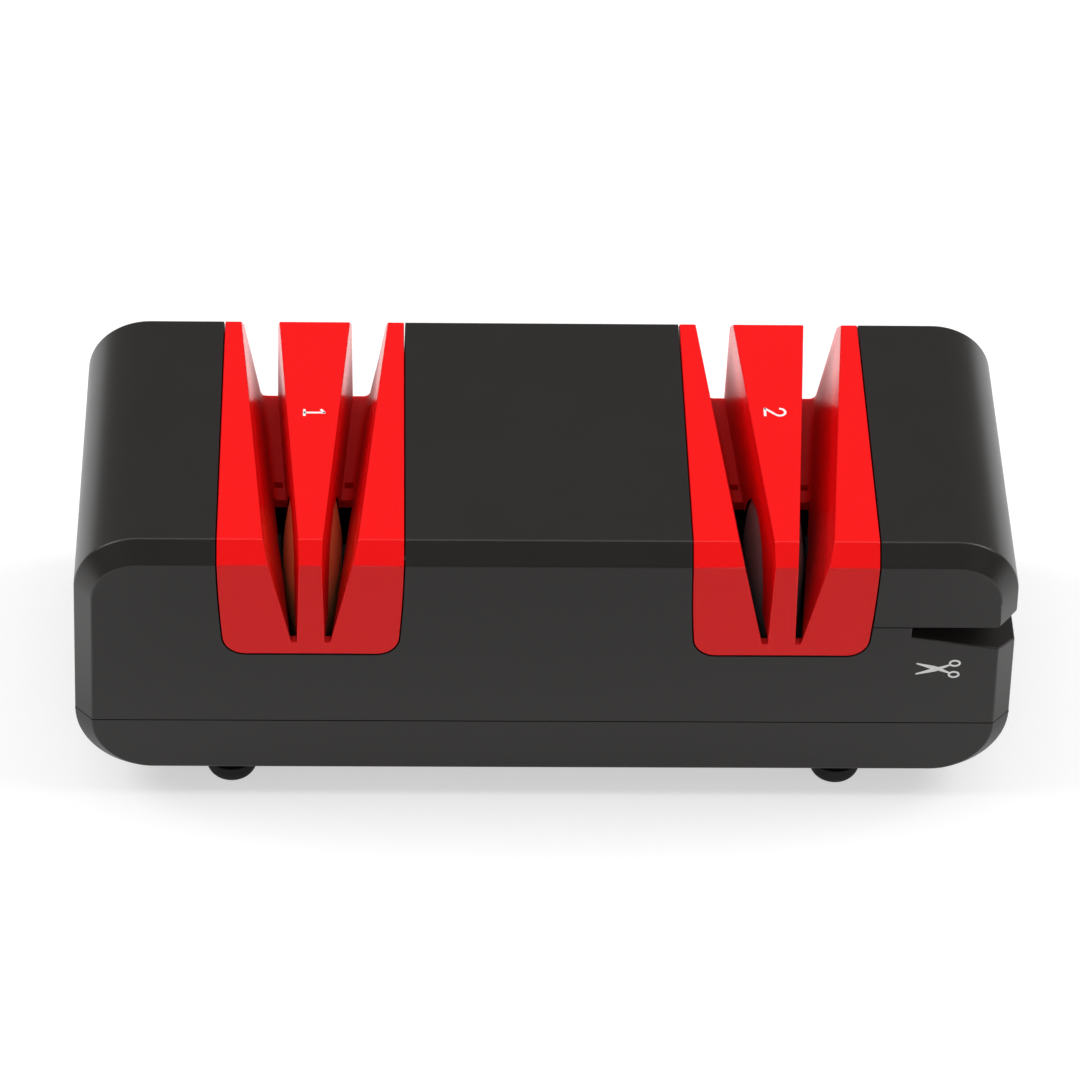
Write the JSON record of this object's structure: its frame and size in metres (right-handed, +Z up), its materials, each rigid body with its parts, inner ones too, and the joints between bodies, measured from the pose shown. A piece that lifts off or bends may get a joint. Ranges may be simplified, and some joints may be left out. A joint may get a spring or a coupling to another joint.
{
  "type": "electric knife sharpener",
  "caption": "Bench-top electric knife sharpener with splayed blade slots over motor-driven wheels and a scissors slot at one end.",
  "frame": {"origin": "middle of the footprint, on the worktop", "axes": "+X to the scissors slot's end, +Y to the back, +Z up"},
  "size_m": [0.23, 0.092, 0.0805],
  "materials": {
    "black_shell": "fine textured ABS, satin",
    "red_guide": "glossy red ABS",
    "coarse_grit": "brown bonded abrasive",
    "fine_grit": "dark grey bonded abrasive",
    "white_grit": "pale bonded abrasive",
    "steel": "ground steel",
    "cast_alloy": "die-cast alloy, black-coated",
    "zinc_steel": "zinc-plated steel",
    "iron": "laminated iron, lacquered",
    "copper": "enamelled copper",
    "bronze": "sintered bronze",
    "carbon": "carbon brush",
    "ferrite": "ferrite magnet",
    "rubber": "matt black rubber",
    "black_plastic": "black nylon",
    "switch_red": "red switch plastic",
    "grey_plastic": "grey acetal",
    "board": "green circuit board",
    "sleeve": "shrink sleeve",
    "lead_red": "red wire insulation",
    "lead_black": "black wire insulation"
  },
  "bodies": {
    "casing": {"base_shell": "black_shell", "main_shell": "black_shell", "scissors_cover": "black_shell", "coarse_guide": "red_guide", "fine_guide": "red_guide", "shaft_bearing": "steel", "inlet_pin_left": "steel", "inlet_pin_right": "steel", "motor_end_left": "cast_alloy", "motor_end_right": "cast_alloy", "motor_can": "zinc_steel", "motor_strap_left": "zinc_steel", "motor_strap_right": "zinc_steel", "case_screw_1": "zinc_steel", "case_screw_2": "zinc_steel", "case_screw_3": "zinc_steel", "case_screw_4": "zinc_steel", "cover_screw_1": "zinc_steel", "cover_screw_2": "zinc_steel", "bearing_screw_1": "zinc_steel", "bearing_screw_2": "zinc_steel", "board_screw_1": "zinc_steel", "board_screw_2": "zinc_steel", "strap_screw_left_front": "zinc_steel", "strap_screw_left_rear": "zinc_steel", "strap_screw_right_front": "zinc_steel", "strap_screw_right_rear": "zinc_steel", "motor_bush_left": "bronze", "motor_bush_right": "bronze", "brush_upper": "carbon", "brush_lower": "carbon", "magnet_front": "ferrite", "magnet_rear": "ferrite", "foot_front_left": "rubber", "foot_front_right": "rubber", "foot_rear_left": "rubber", "foot_rear_right": "rubber", "motor_ring_left": "rubber", "motor_ring_right": "rubber", "inlet_socket": "black_plastic", "switch_housing": "black_plastic", "bridge_rectifier": "black_plastic", "bearing_block": "grey_plastic", "circuit_board": "board", "capacitor": "sleeve", "motor_lead_red": "lead_red", "motor_lead_black": "lead_black"},
    "rotor": {"motor_shaft": "steel", "armature_core": "iron", "armature_winding": "copper", "commutator": "copper", "coarse_wheel": "coarse_grit", "coarse_hub": "cast_alloy", "fine_wheel": "fine_grit", "fine_hub": "cast_alloy", "scissors_wheel": "white_grit", "scissors_hub": "cast_alloy"},
    "rocker": {"switch_rocker": "switch_red"},
    "coarse_drawer": {"coarse_dust_drawer": "black_plastic"},
    "fine_drawer": {"fine_dust_drawer": "black_plastic"}
  },
  "joints": [
    {"name": "rotor_spin", "type": "hinge", "parent": "casing", "child": "rotor", "pos_m": [0, -0.012, 0.0465], "axis": [1, 0, 0], "continuous": true},
    {"name": "rocker_tilt", "type": "hinge", "parent": "casing", "child": "rocker", "pos_m": [0.0141, 0.0407, 0.054], "axis": [1, 0, 0], "range_deg": [0, 24]},
    {"name": "coarse_drawer_slide", "type": "slide", "parent": "casing", "child": "coarse_drawer", "axis": [0, 1, 0], "range_m": [0, 0.06]},
    {"name": "fine_drawer_slide", "type": "slide", "parent": "casing", "child": "fine_drawer", "axis": [0, 1, 0], "range_m": [0, 0.06]}
  ]
}
